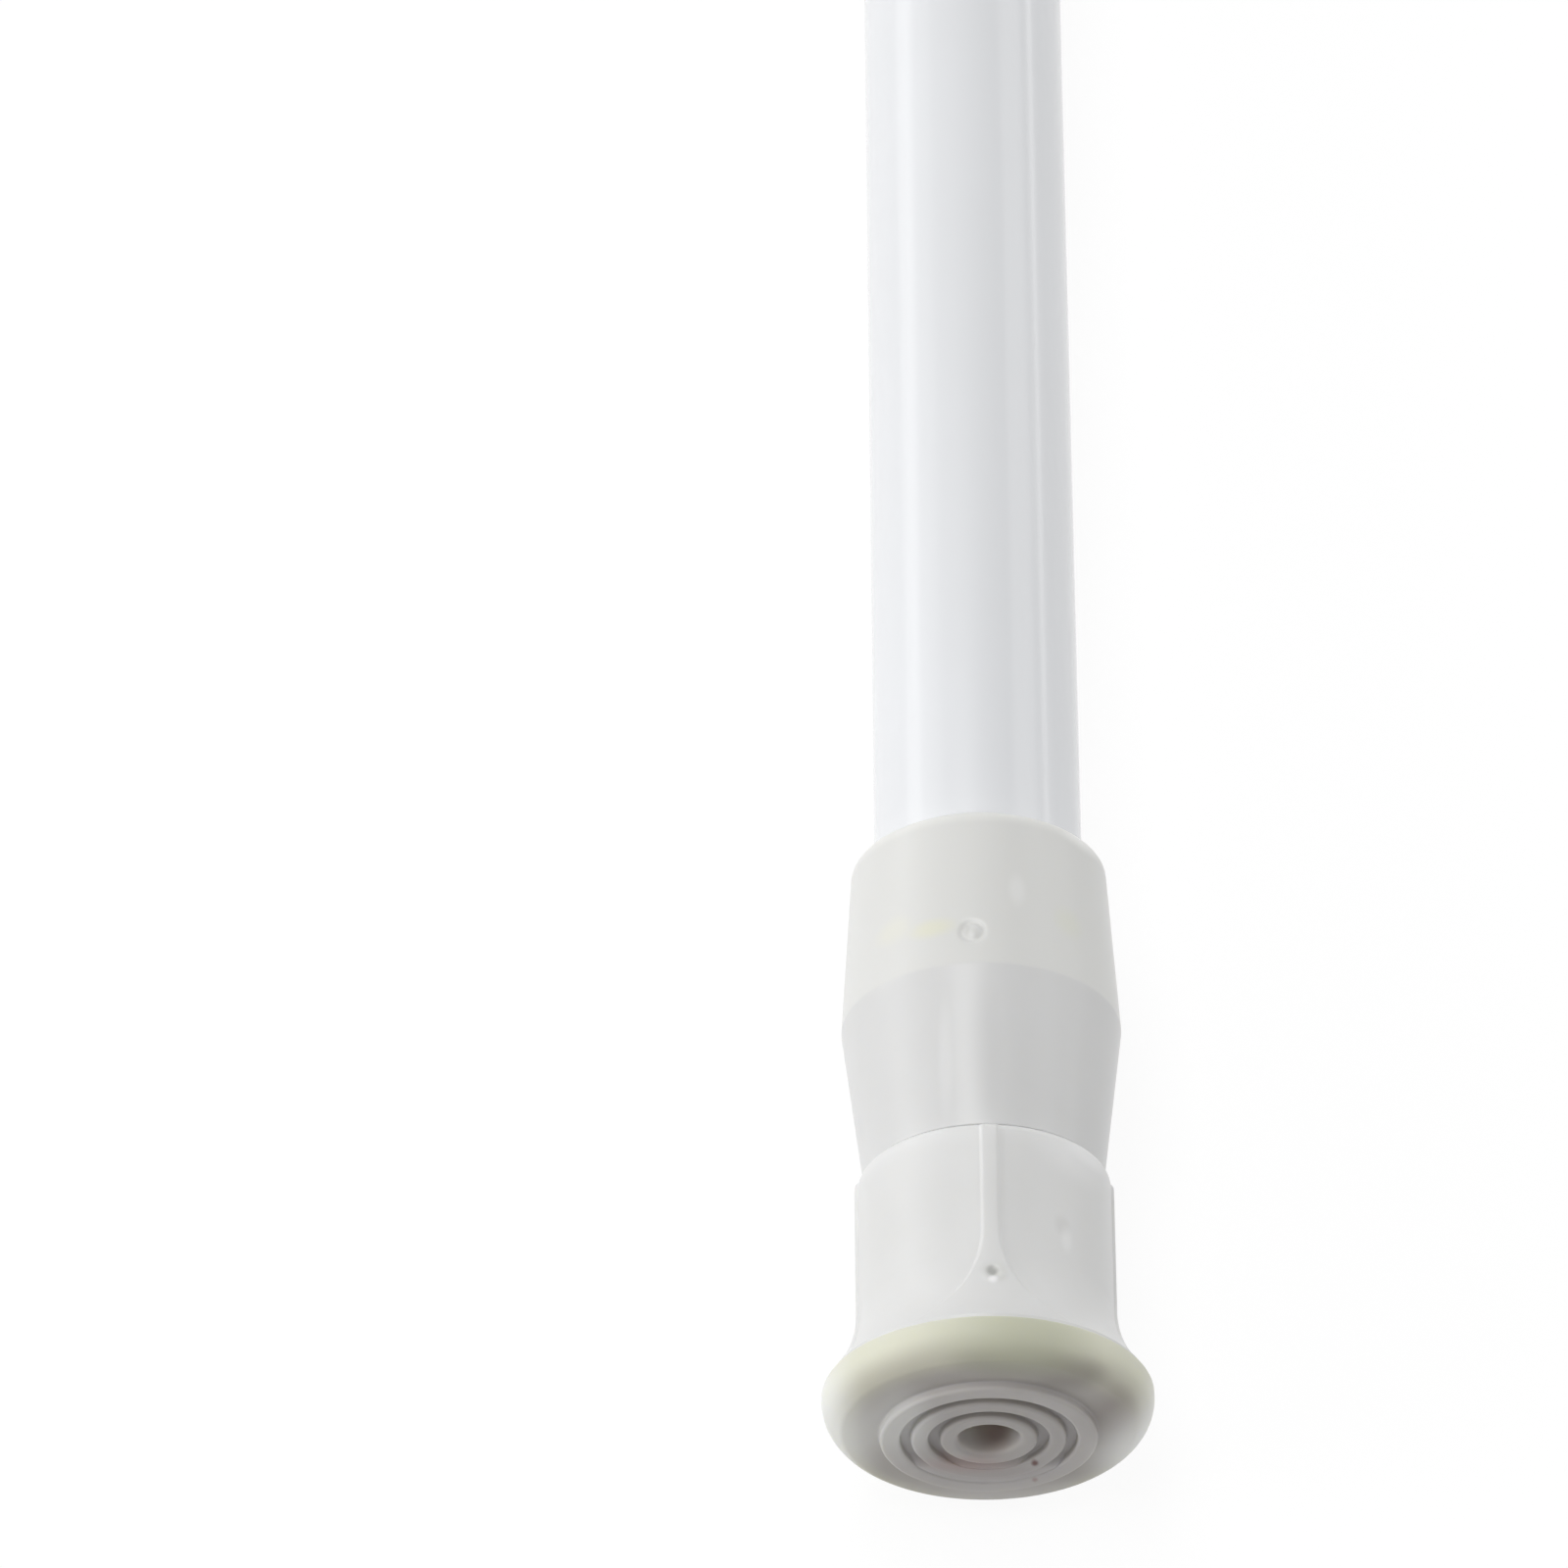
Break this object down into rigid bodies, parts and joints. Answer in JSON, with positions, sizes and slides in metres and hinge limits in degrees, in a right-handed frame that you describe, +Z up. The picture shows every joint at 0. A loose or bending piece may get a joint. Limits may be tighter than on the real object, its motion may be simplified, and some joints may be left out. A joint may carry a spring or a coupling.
{
  "type": "spring tension rod",
  "caption": "Telescopic spring tension rod: twist to grip, push to press its ringed soft pads between two walls and carry a curtain.",
  "frame": {"origin": "centre of the fixed wall pad's face, on the rod's axis", "axes": "+X along the rod from the fixed pad to the sliding pad, +Z up, rod closed"},
  "size_m": [1.1, 0.0342, 0.0342],
  "materials": {
    "white_steel": "gloss",
    "white_cap": "gloss",
    "cream_pad": "satin",
    "nylon": "satin",
    "zinc_steel": "satin",
    "spring_steel": "satin"
  },
  "bodies": {
    "outer_pole": {"outer_tube": "white_steel", "end_cap_fixed": "white_cap", "wall_pad_fixed": "cream_pad", "collar": "white_cap"},
    "bush": {"guide_bush": "nylon"},
    "inner_pole": {"inner_tube": "white_steel", "end_cap_sliding": "white_cap", "wall_pad_sliding": "cream_pad", "spindle_guide": "nylon", "spring": "spring_steel", "spring_seat": "zinc_steel"},
    "plunger": {"spindle": "zinc_steel", "thrust_washer": "zinc_steel", "plunger_washer": "zinc_steel", "retaining_clip": "spring_steel", "stop_nut": "zinc_steel"},
    "expander": {"expander_collet": "nylon"},
    "wedge": {"cone_nut": "nylon"}
  },
  "joints": [
    {"name": "twist", "type": "hinge", "parent": "outer_pole", "child": "bush", "pos_m": [1.06, 0, 0], "axis": [1, 0, 0], "range_deg": [0, 540]},
    {"name": "telescope", "type": "slide", "parent": "bush", "child": "inner_pole", "axis": [1, 0, 0], "range_m": [0, 0.9]},
    {"name": "spring_squeeze", "type": "slide", "parent": "inner_pole", "child": "plunger", "axis": [1, 0, 0], "range_m": [0, 0.03], "stiffness_N_per_m": 2500, "springref_m": -0.01, "deforming": ["spring"]},
    {"name": "expander_stays", "type": "hinge", "parent": "plunger", "child": "expander", "pos_m": [0.06, 0, 0], "axis": [1, 0, 0], "range_deg": [-540, 0]},
    {"name": "wedge_draw", "type": "slide", "parent": "expander", "child": "wedge", "axis": [1, 0, 0], "range_m": [0, 0.003]}
  ],
  "couplings": [
    {"joint": "expander_stays", "follows": "twist", "ratio": -1},
    {"joint": "wedge_draw", "follows": "twist", "m_per_rad": 0.00031831}
  ]
}
